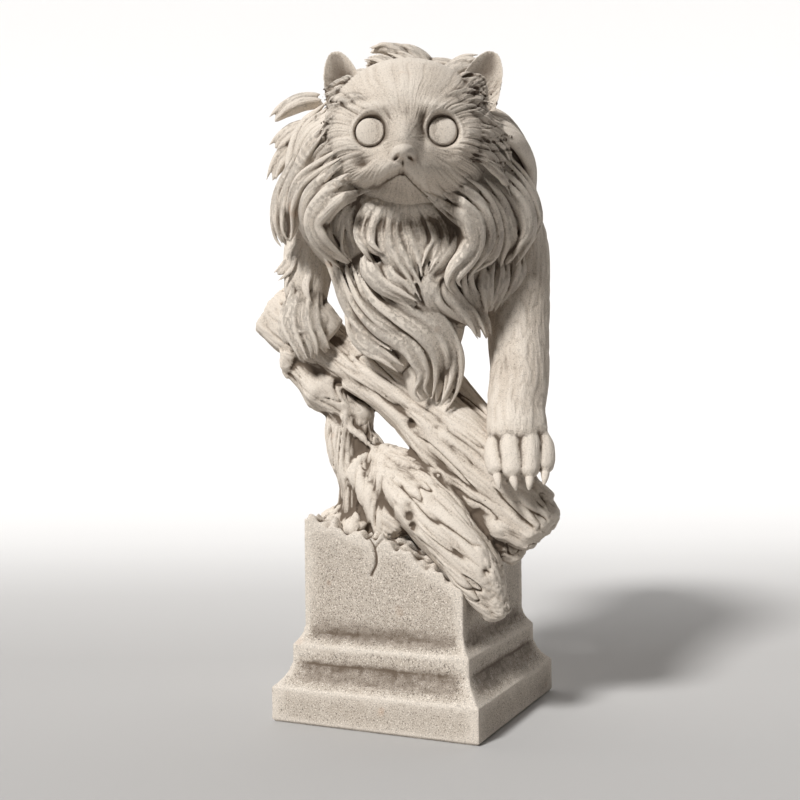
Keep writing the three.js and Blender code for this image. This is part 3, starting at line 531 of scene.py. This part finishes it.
def woodForms():
    wood = {"bark": woodPiece["bark"], "sides": 110, "rows": 110, "square": 2.6}
    log = {**wood, "rows": 200, "blunt": 0.02}
    pieces = [
        ([(-69, 8, 188), (-55, 4, 179), (-37, 0, 165), (-16, -8, 157), (2, -15, 144), (18, -22, 128),
          (36, -30, 108), (57, -39, 84)], [12, 15, 14, 14, 14, 17, 16, 12], log),  # the log under the forefeet
        ([(-55, 2, 163), (-42, -4, 149), (-28, -8, 135)], [8, 11, 5], wood),  # broken stub
        ([(-34, -12, 155), (-22, -15, 149), (-8, -20, 139), (4, -26, 126), (16, -32, 112)],
         [4, 6, 6.5, 7, 6], wood),  # lower ridge of the log
        ([(0, -6, 164), (11, -12, 154), (25, -20, 138), (36, -28, 121)], [8, 9, 9, 9], wood),  # its back edge
        ([(24, -30, 98), (40, -37, 89), (53, -42, 82)], [9, 9, 5], wood),  # its split lower end
        ([(28, -30, 90), (39, -31, 80), (46, -30, 73)], [9, 8, 5], wood),  # rough wood behind that
        ([(-29, -2, 146), (-31, -3, 124), (-24, -4, 106), (-21, -2, 88), (-19, 0, 66)],
         [10, 11.5, 12.5, 18, 24], wood),  # stump
        ([(-30, -2, 126), (-17, -6, 113), (0, -14, 102), (14, -22, 96)], [10, 10, 12, 13], wood),  # its shoulder
        ([(-28, -8, 116), (-19, -13, 106), (-12, -19, 93), (-6, -24, 82)], [9, 11, 12, 9], wood),  # and its front
        ([(-20, -8, 116), (-8, -18, 109), (3, -28, 99), (15, -38, 86), (26, -44, 70), (36, -45, 49)],
         [9, 13, 15, 14.5, 12, 6], log),  # forward limb over the plinth's corner
        ([(1, -14, 122), (15, -22, 108), (32, -30, 92)], [11, 16, 13], wood),  # wood between log and limb
        ([(-16, -8, 152), (-11, 14, 152), (-7, 40, 160), (-4, 72, 167)], [12, 13, 13, 9], wood),  # rear limb
        ([(44, -36, 104), (53, -41, 104), (60, -42, 100)], [6, 5, 3], wood),  # chip beside the paw
        ([(-33, -12, 140), (-31, -12, 133), (-24, -14, 127), (-19, -15, 121)], [3, 2.6, 2, 0.8], wood),  # spike
        ([(-58, -6, 168), (-60, -5, 160), (-60, -4, 154)], [4.5, 3.4, 1], wood),  # splinters under the log
        ([(-44, -10, 152), (-45, -10, 145), (-43, -9, 139)], [4, 3, 1], wood),
    ]
    for x, y in [(-46, 6), (-38, 28), (-8, 38), (18, 30), (30, 2), (-42, -14), (-30, -26)]:  # roots over the plinth
        pieces.append(([(-22, 0, 96), (mix(-22, x, 0.5), y / 2, 89), (x, y, mix(88, 72, (x + 46) / 76))],
                       [9, 8, 3], wood))
    return [limb(path, sizes, **how) for path, sizes, how in pieces]


# the plinth, in its own directions
plinthPiece = {
    "voxel": 0.6, "triangles": 120000, "grainy": 1.0,
    "slabHalf": 50, "slabHeight": 15.5, "bandHalf": 43, "bandBottom": 26.3,
    "bandTop": 34.1, "shaftHalf": 38.8, "shaftBottom": 45.4, "shaftTop": 91, "chamfer": 1.2,
    "cracks": [  # runs on the front face, half width, depth
        ([(-7.8, -38.8, 84.7), (-3.8, -38.8, 80.0), (-2.4, -38.8, 73.0), (-4.9, -38.8, 67.1)], 0.6, 1.5),
        ([(-2.8, -38.8, 79.0), (-1, -38.8, 81.5), (1.1, -38.8, 83)], 0.5, 1.0),
        ([(24.6, -38.8, 71.8), (27.5, -38.8, 70.5), (30.2, -38.8, 68.6)], 1.1, 1.3),
    ],
}


def brokenTop(x, y):
    half = plinthPiece["shaftHalf"]
    fallLeft = 7 * ease(x, -half, -8)
    fallRight = 21 * ease(x, -6, half + 6) * mix(1, 0.6, (y + half) / (2 * half))
    jagged = 1.1 * np.sin(0.52 * x + 0.31 * y) + 0.9 * np.sin(0.83 * y - 0.41 * x + 1) + 0.7 * np.sin(1.3 * x + 2)
    return plinthPiece["shaftTop"] - fallLeft - fallRight + jagged


def plinthForm():
    p = plinthPiece
    profile = [(p["slabHalf"] - p["chamfer"], 0), (p["slabHalf"], p["chamfer"])]

    def hollow(fromHalf, fromHeight, toHalf, toHeight, sag):
        for share in np.linspace(0, 1, 13):
            dip = sag * math.sin(math.pi * share)
            profile.append((mix(fromHalf, toHalf, share) - dip, mix(fromHeight, toHeight, share) - dip / 2))

    hollow(p["slabHalf"], p["slabHeight"], p["bandHalf"], p["bandBottom"], 0.9)
    hollow(p["bandHalf"], p["bandTop"], p["shaftHalf"], p["shaftBottom"], 1.3)
    steps = 90
    edge = np.linspace(-1, 1, steps + 1)[:-1]
    square = np.concatenate([np.stack([edge, -np.ones(steps)], -1), np.stack([np.ones(steps), edge], -1),
                             np.stack([-edge, np.ones(steps)], -1), np.stack([-np.ones(steps), -edge], -1)])
    rings = [np.column_stack([square * half, np.full(len(square), height)]) for half, height in profile]
    for share in np.linspace(1, 0, 46)[:-1]:  # the broken top, ring by ring to its middle
        xy = square * p["shaftHalf"] * share
        height = brokenTop(xy[:, 0], xy[:, 1])
        stone = np.column_stack([xy, height])
        rough = 1.4 * softNoise(stone * [1, 1, 0], 6, 31) + 0.8 * softNoise(stone * [1, 1, 0], 2.4, 32)
        rings.append(np.column_stack([xy, height + rough]))
    verts, faces = closedRings(np.array(rings), np.array([0, 0, 0.0]), np.array([0, 0, brokenTop(0.0, 0.0)]))
    faces = [part[:, ::-1] for part in faces]
    return nextStrand({"verts": verts, "faces": faces, "lines": np.zeros((len(verts), 2))}, 0)


# from overlapping closed forms to one skin
def meshFrom(verts, faces, name):
    mesh = bpy.data.meshes.new(name)
    mesh.from_pydata(verts.tolist(), [], [tuple(f) for part in faces for f in part.tolist()])
    return mesh


def neighbourMean(points, edges, values):
    total = np.zeros_like(values)
    count = np.bincount(edges.ravel(), minlength=len(points))[:, None]
    for axis in range(values.shape[1]):
        total[:, axis] = (np.bincount(edges[:, 0], values[edges[:, 1], axis], len(points))
                          + np.bincount(edges[:, 1], values[edges[:, 0], axis], len(points)))
    return total / np.maximum(count, 1)


def readMesh(mesh):
    points = np.empty(len(mesh.vertices) * 3)
    mesh.vertices.foreach_get("co", points)
    edges = np.empty(len(mesh.edges) * 2, int)
    mesh.edges.foreach_get("vertices", edges)
    normals = np.empty(len(mesh.vertices) * 3)
    mesh.vertex_normals.foreach_get("vector", normals)
    return points.reshape(-1, 3), edges.reshape(-1, 2), normals.reshape(-1, 3)


def baked(piece):  # the piece's mesh with its modifiers applied
    graph = bpy.context.evaluated_depsgraph_get()
    mesh = bpy.data.meshes.new_from_object(piece.evaluated_get(graph))
    piece.modifiers.clear()
    old = piece.data
    piece.data = mesh
    bpy.data.meshes.remove(old)
    return mesh


def makePiece(name, forms, plan, turn, carve=None, tintAndShade=None):
    verts, faces, offset = [], [], 0
    for form in forms:
        verts.append(form["verts"])
        faces += [part + offset for part in form["faces"]]
        offset += len(form["verts"])
    points = np.vstack(verts)
    piece = bpy.data.objects.new(name, meshFrom(points, faces, name))
    bpy.context.scene.collection.objects.link(piece)
    skin = piece.modifiers.new("skin", "REMESH")
    skin.mode = "VOXEL"
    skin.voxel_size = plan["voxel"] * 1
    mesh = baked(piece)
    points, edges, _ = readMesh(mesh)
    for _ in range(round(plan["blend"] / (1)) if "blend" in plan else 1):
        points = mix(points, neighbourMean(points, edges, points), 0.5)
    if carve:
        mesh.vertices.foreach_set("co", points.ravel())
        mesh.update()
        points = carve(points, readMesh(mesh)[2])
    mesh.vertices.foreach_set("co", points.ravel())
    mesh.update()
    wanted = plan["triangles"] * 1
    triangles = sum(len(p.vertices) - 2 for p in mesh.polygons)
    if triangles > wanted:
        thin = piece.modifiers.new("thin", "DECIMATE")
        thin.ratio = wanted / triangles
        mesh = baked(piece)
    traceHair(mesh, forms)
    traceHollows(mesh, tintAndShade)
    keepValue(mesh, "grainy", np.full(len(mesh.vertices), plan.get("grainy", 0.45)))
    place = Matrix.Rotation(turn, 4, "Z") @ Matrix.Scale(millimetre, 4)
    mesh.transform(place)
    mesh.shade_smooth()
    mesh.materials.clear()
    mesh.materials.append(castStone)
    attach(piece, "root")
    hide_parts(castingNode)
    print("stage:", name, triangles, "->", sum(len(p.vertices) - 2 for p in mesh.polygons), "triangles")


def keepValue(mesh, name, values):
    mesh.attributes.new(name, "FLOAT", "POINT").data.foreach_set("value", np.asarray(values, np.float32))


def nearestOn(forms, points, keys):  # what each point's nearest form says under each key
    step = 2 if sum(len(form["verts"]) for form in forms) > 90000 else 1
    tree = kdtree.KDTree(sum(len(form["verts"][::step]) for form in forms))
    for k, vert in enumerate(np.vstack([form["verts"][::step] for form in forms]).tolist()):
        tree.insert(vert, k)
    tree.balance()
    nearest = np.array([tree.find(point)[1] for point in points.tolist()])
    return [np.vstack([form[key][::step] for form in forms])[nearest] for key in keys]


def traceHair(mesh, forms):  # which way the hair runs at each point, from the nearest form
    for form in forms:
        form["hairiness"] = np.full((len(form["verts"]), 1), form["hair"])
    lines, hair = nearestOn(forms, readMesh(mesh)[0], ["lines", "hairiness"])
    keepValue(mesh, "hairAcross", lines[:, 0])
    keepValue(mesh, "hairAlong", lines[:, 1])
    keepValue(mesh, "hairy", hair[:, 0])


def traceHollows(mesh, tintAndShade):  # above 0 in creases, below 0 on ridges, in millimetres
    points, edges, normals = readMesh(mesh)
    smooth = points
    for _ in range(30):
        smooth = neighbourMean(points, edges, smooth)
    depth = np.sum((smooth - points) * normals, axis=1)
    # this crease mask drives the painted shade in the stone's colour, and the face's extra painted shade is added to
    # it
    keepValue(mesh, "hollow", depth + tintAndShade(points) if tintAndShade else depth)


# furrows pressed into a skin
def carveFace(points, normals):
    front = ease(-points[:, 1], 40, 56)
    x, z = points[:, 0] - face["middle"], points[:, 2] - face["eyeLevel"]
    lipX, lipZ = np.array(face["mouth"]).T
    underLip = np.interp(x, lipX, lipZ) - z
    eyeGap = np.hypot(np.abs(x) - face["eyeSpread"], z)
    # short hair runs out from between nose and brows
    way = np.arctan2(z + 6, x) + 0.07 * softNoise(points, 16, 24)
    reach = np.hypot(x, z + 6)
    rays = np.stack([np.cos(way), np.sin(way), 0 * way], -1)
    run = reach - 0.6 * points[:, 1]
    near = ridges(rays * 15 + [0, 0, 1] * run[:, None] / 7, 1.0, 20)
    far = ridges(rays * 30 + [0, 0, 1] * run[:, None] / 7, 1.0, 22)
    broad = ridges(rays * 26 + [0, 0, 1] * run[:, None] / 9, 2.6, 23)
    lines = 1 - mix(near, far, ease(reach, 17, 26))
    bare = ease(eyeGap, 6.8, 9) * ease(np.hypot((x + 1.4) / 5.5, (z + 11.5) / 3.4), 0.9, 1.5)
    bare = bare * mix(1, 0.35, ease(underLip, -1, 1) * front) * (1 - ease(points[:, 2], 283, 289))
    brow = ease(z, 8, 16) * ease(-np.abs(x), -30, -18)
    depth = 0.42 * lines * mix(0.45, 1, ease(reach, 9, 24)) + 0.75 * (1 - broad) * ease(reach, 14, 30)
    depth = depth * bare * mix(1, 0.3, brow)
    points -= normals * depth[:, None]
    # philtrum, nostrils, the nose's wings and the parting of the lips
    cleft = np.exp(-((x + 1.6) / 0.55) ** 2) * ease(z, -18.5, -17.2) * ease(-z, 13.2, 14.2)
    parting = np.exp(-((underLip - 0.2) / 0.75) ** 2) * ease(-np.abs(x - 1), -14, -8)
    wings = np.exp(-((np.hypot((x + 1.4) / 5.3, (z + 11.2) / 3.2) - 1.12) / 0.13) ** 2)
    press = 1.7 * cleft + 2.2 * parting + 0.35 * wings
    for side in (-1, 1):
        nostril = np.exp(-((x + 1.4 - side * (2.7 - 0.6 * (z + 13))) / 0.95) ** 2 - ((z + 13) / 0.8) ** 2)
        press = press + 2.8 * nostril
    ring = np.exp(-((eyeGap - face["eyeRadius"] - 0.1) / 0.42) ** 2)
    lid = np.exp(-((eyeGap - face["eyeRadius"] - 1.5) / 0.9) ** 2) * mix(0.35, 1, ease(z, -3, 4))
    points[:, 1] += (press + 1.25 * ring - 0.8 * lid) * front
    return points


def faceTintAndShade(points):  # eyes darkened to a browner tone, plus painted shade in the nostrils and under the lip, added to the crease mask
    x, z = points[:, 0] - face["middle"], points[:, 2] - face["eyeLevel"]
    lipX, lipZ = np.array(face["mouth"]).T
    front = ease(-points[:, 1], 50, 60)
    eyes = 1 - ease(np.hypot(np.abs(x) - face["eyeSpread"], z), 5.2, 6.2)
    nostrils = 1 - ease(np.hypot((np.abs(x + 1.4) - 2.7) / 1.0, (z + 13) / 0.8), 0.5, 1.2)
    underLip = ease(np.interp(x, lipX, lipZ) - z, 0, 1.5)
    # the nostril and under-lip terms are painted shade; the eye term is a browner tone
    return (0.17 * eyes + 0.3 * nostrils + 0.17 * underLip) * front


def carveMane(points, normals):  # the dark hollow between chin, ruff and beard
    x, y, z = points.T
    inside = ease(1 - ((x + 4) / 26) ** 2, 0, 0.5) * ease(z, 206, 224) * ease(-z, -242, -236)
    points[:, 1] += 6 * inside * ease(-y, 38, 46)
    return points


def carvePlinth(points, normals):
    for path, width, depth in plinthPiece["cracks"]:
        line = alongCurve(path, np.linspace(0, 1, 40))
        near = np.where(np.all((points > line.min(0) - 3) & (points < line.max(0) + 3), axis=1))[0]
        gap = np.min(np.linalg.norm(points[near, None] - line[None], axis=2), axis=1)
        points[near, 1] += depth * np.exp(-(gap / width) ** 2)
    return points - normals * 0.1 * softNoise(points, 2, 42)[:, None]


def carveWood(points, normals):
    def grainDepth(axis):  # splits and folds that run along the axis
        run = (points @ axis)[:, None] * axis
        long = points - 0.88 * run + 1.6 * softNoise(points - 0.6 * run, 12, 3)[:, None]
        splits = ease(1 - ridges(long, 3.6, 8), 0.5, 0.95) * ease(softNoise(long, 5, 7), 0.0, 0.35)
        return 0.45 * (1 - ridges(long, 1.5, 6)) + 0.8 * (1 - ridges(long, 5.0, 5)) + 1.3 * splits

    upright = ease(-points[:, 0], 10, 20) * ease(-points[:, 2], -142, -126)
    alongLog, alongStump = unit(np.array(woodPiece["logGrain"])), np.array(woodPiece["stumpGrain"])
    depth = mix(grainDepth(alongLog), grainDepth(alongStump), upright)
    points = points - normals * depth[:, None]
    for place, width, deep in woodPiece["hollows"]:
        gap = np.linalg.norm(points - np.array(place, float), axis=1)
        points += np.array((0.1, 1, 0.1)) * (deep * np.exp(-(gap / width) ** 2))[:, None]
    return points


# cast stone: cream, speckled, darkened in its hollows by painted shade, and pale where it is rubbed
stone = {
    # the third colour here is the painted shade laid into creases
    "pale": (0.66, 0.58, 0.49, 1), "warm": (0.57, 0.48, 0.39, 1), "creaseShade": (0.085, 0.055, 0.032, 1),
    "grain": (0.10, 0.08, 0.065, 1), "light": (0.84, 0.77, 0.68, 1), "rust": (0.42, 0.20, 0.08, 1),
    "bed": (0.33, 0.285, 0.235, 1), "roughness": 0.82,
    "specks": [  # cells in a metre, where they begin and are full, seed, colour and how strong
        (1500, 0.53, 0.64, 2, "grain", 0.75), (1900, 0.56, 0.66, 3, "light", 0.8),
        (900, 0.62, 0.68, 4, "grain", 0.85),
    ],
}


def stoneMaterial():
    material = bpy.data.materials.new("castStone")
    material.use_nodes = True
    nodes, links = material.node_tree.nodes, material.node_tree.links
    shader = nodes["Principled BSDF"]

    def add(kind, **settings):
        node = nodes.new(kind)
        for key, value in settings.items():
            if hasattr(node, key):
                setattr(node, key, value)
            else:
                node.inputs[key].default_value = value
        return node

    def join(source, target):
        links.new(source, target)

    def ramp(source, low, high):
        cut = add("ShaderNodeMapRange", clamp=True)
        cut.inputs["From Min"].default_value = low
        cut.inputs["From Max"].default_value = high
        join(source, cut.inputs["Value"])
        return cut.outputs["Result"]

    def times(source, amount):
        node = add("ShaderNodeMath", operation="MULTIPLY")
        if isinstance(amount, float):
            node.inputs[1].default_value = amount
        else:
            join(amount, node.inputs[1])
        join(source, node.inputs[0])
        return node.outputs[0]

    def speckle(size, low, high, seed):
        noise = add("ShaderNodeTexNoise", Scale=size, Detail=2.0, Roughness=0.6)
        shift = add("ShaderNodeMapping")
        shift.inputs["Location"].default_value = (seed, seed * 2, seed * 3)
        join(place.outputs["Object"], shift.inputs["Vector"])
        join(shift.outputs["Vector"], noise.inputs["Vector"])
        return ramp(noise.outputs["Fac"], low, high)

    def blend(factor, first, second, amount=1.0):
        node = add("ShaderNodeMix", data_type="RGBA")
        join(times(factor, amount), node.inputs["Factor"])
        for socket, colour in (("A", first), ("B", second)):
            target = [s for s in node.inputs if s.name == socket and s.type == "RGBA"][0]
            if isinstance(colour, tuple):
                target.default_value = colour
            else:
                join(colour, target)
        return [s for s in node.outputs if s.type == "RGBA"][0]

    place = add("ShaderNodeTexCoord")
    hollow, across, alongHair, hairy, grainy = [
        add("ShaderNodeAttribute", attribute_name=name).outputs["Fac"]
        for name in ("hollow", "hairAcross", "hairAlong", "hairy", "grainy")]
    colour = blend(speckle(28, 0.35, 0.65, 1), stone["pale"], stone["warm"], 0.55)
    colour = blend(grainy, colour, stone["bed"], 0.6)
    for size, low, high, seed, name, amount in stone["specks"]:  # fewer on the figure than on the plinth
        colour = blend(speckle(size, low, high, seed), colour, stone[name], times(grainy, amount))
    colour = blend(ramp(hollow, -0.05, -0.5), colour, stone["light"], 0.35)  # rubbed ridges
    colour = blend(ramp(hollow, 0.02, 0.5), colour, stone["creaseShade"], 0.92)  # painted shade in creases, toward a dark brown
    colour = blend(speckle(60, 0.70, 0.78, 5), colour, stone["rust"], 0.25)
    join(colour, shader.inputs["Base Color"])
    shader.inputs["Roughness"].default_value = stone["roughness"]

    # fine hair lines, then the sand grain
    lines = add("ShaderNodeCombineXYZ")
    join(across, lines.inputs["X"])
    join(times(alongHair, 0.12), lines.inputs["Y"])
    strands = add("ShaderNodeTexNoise", Scale=1.5, Detail=2.0)
    join(lines.outputs["Vector"], strands.inputs["Vector"])
    hairBump = add("ShaderNodeBump", Strength=0.75, Distance=0.0007)
    join(times(strands.outputs["Fac"], hairy), hairBump.inputs["Height"])
    sand = add("ShaderNodeTexNoise", Scale=1300.0, Detail=3.0, Roughness=0.7)
    join(place.outputs["Object"], sand.inputs["Vector"])
    sandBump = add("ShaderNodeBump", Strength=0.5, Distance=0.0003)
    join(sand.outputs["Fac"], sandBump.inputs["Height"])
    join(hairBump.outputs["Normal"], sandBump.inputs["Normal"])
    join(sandBump.outputs["Normal"], shader.inputs["Normal"])
    return material


castStone = stoneMaterial()
makePiece("catFace", faceForms(), face, figureTurn, carveFace, faceTintAndShade)
makePiece("catMane", maneForms(), manePiece, figureTurn, carveMane)
makePiece("catBody", bodyForms(), bodyPiece, figureTurn)
makePiece("driftwood", woodForms(), woodPiece, figureTurn, carveWood)
makePiece("plinth", [plinthForm()], plinthPiece, 0, carvePlinth)

# stage, light and camera
view = {
    "distance": 0.5569, "height": 0.1508, "lens": 53.2, "pitch": 0.012, "roll": 0.010, "shift": -0.0191,
    "ambient": (0.05, 0.043, 0.036), "sun": 4.0, "sunSize": 0.2, "sunFrom": (-0.46, -0.60, 0.66),
    "floor": (0.44, 0.43, 0.42, 1), "floorRoughness": 0.95, "floorGlow": 0.5,
}


def makeStage():
    bend = [(0.5 + 0.7 * math.sin(a), 0.7 - 0.7 * math.cos(a)) for a in np.linspace(0, math.pi / 2, 16)]
    profile = [(-5, 0), (-1, 0), (-0.2, 0), (0.1, 0), (0.3, 0), *bend, (1.2, 5)]
    corners = [(side, y, z) for y, z in profile for side in (-6, 6)]
    mesh = bpy.data.meshes.new("floor")
    mesh.from_pydata(corners, [], [(2 * k, 2 * k + 1, 2 * k + 3, 2 * k + 2) for k in range(len(profile) - 1)])
    mesh.shade_smooth()
    keepValue(mesh, "glow", [view["floorGlow"] * float(ease(y, 0.05, 0.9)) for _, y, _ in corners])
    floor = bpy.data.objects.new("floor", mesh)
    bpy.context.scene.collection.objects.link(floor)
    floor.matrix_world = Matrix.Rotation(figureTurn, 4, "Z")
    paint = bpy.data.materials.new("floorPaint")
    paint.use_nodes = True
    shader = paint.node_tree.nodes["Principled BSDF"]
    glow = paint.node_tree.nodes.new("ShaderNodeAttribute")
    glow.attribute_name = "glow"
    paint.node_tree.links.new(glow.outputs["Fac"], shader.inputs["Emission Strength"])
    shader.inputs["Base Color"].default_value = view["floor"]
    shader.inputs["Emission Color"].default_value = (1, 1, 1, 1)
    shader.inputs["Roughness"].default_value = view["floorRoughness"]
    mesh.materials.append(paint)

    world = bpy.data.worlds.new("studio")
    bpy.context.scene.world = world
    world.use_nodes = True
    world.node_tree.nodes["Background"].inputs["Color"].default_value = (*view["ambient"], 1)

    key = bpy.data.lights.new("key", "SUN")
    key.energy = view["sun"]
    key.angle = view["sunSize"]
    lamp = bpy.data.objects.new("key", key)
    bpy.context.scene.collection.objects.link(lamp)
    spot = Matrix.Rotation(figureTurn, 3, "Z") @ Vector(view["sunFrom"])
    lamp.location = spot
    lamp.rotation_euler = (-spot).to_track_quat("-Z", "Y").to_euler()


def makeCamera():
    right = Vector((math.cos(figureTurn), math.sin(figureTurn), 0))
    ahead = Vector((-math.sin(figureTurn), math.cos(figureTurn), 0))
    gaze = ahead * math.cos(view["pitch"]) - Vector((0, 0, math.sin(view["pitch"])))
    up = right.cross(gaze)
    side = right * math.cos(view["roll"]) - up * math.sin(view["roll"])
    top = right * math.sin(view["roll"]) + up * math.cos(view["roll"])
    camera = bpy.data.objects.new("camera", bpy.data.cameras.new("camera"))
    bpy.context.scene.collection.objects.link(camera)
    camera.matrix_world = Matrix((
        (side.x, top.x, -gaze.x, -ahead.x * view["distance"]),
        (side.y, top.y, -gaze.y, -ahead.y * view["distance"]),
        (side.z, top.z, -gaze.z, view["height"]),
        (0, 0, 0, 1)))
    camera.data.lens = view["lens"]
    camera.data.shift_x = view["shift"]
    bpy.context.scene.camera = camera
    bpy.context.scene.view_settings.view_transform = "Standard"


makeStage()
makeCamera()
print("stage: light and camera set")
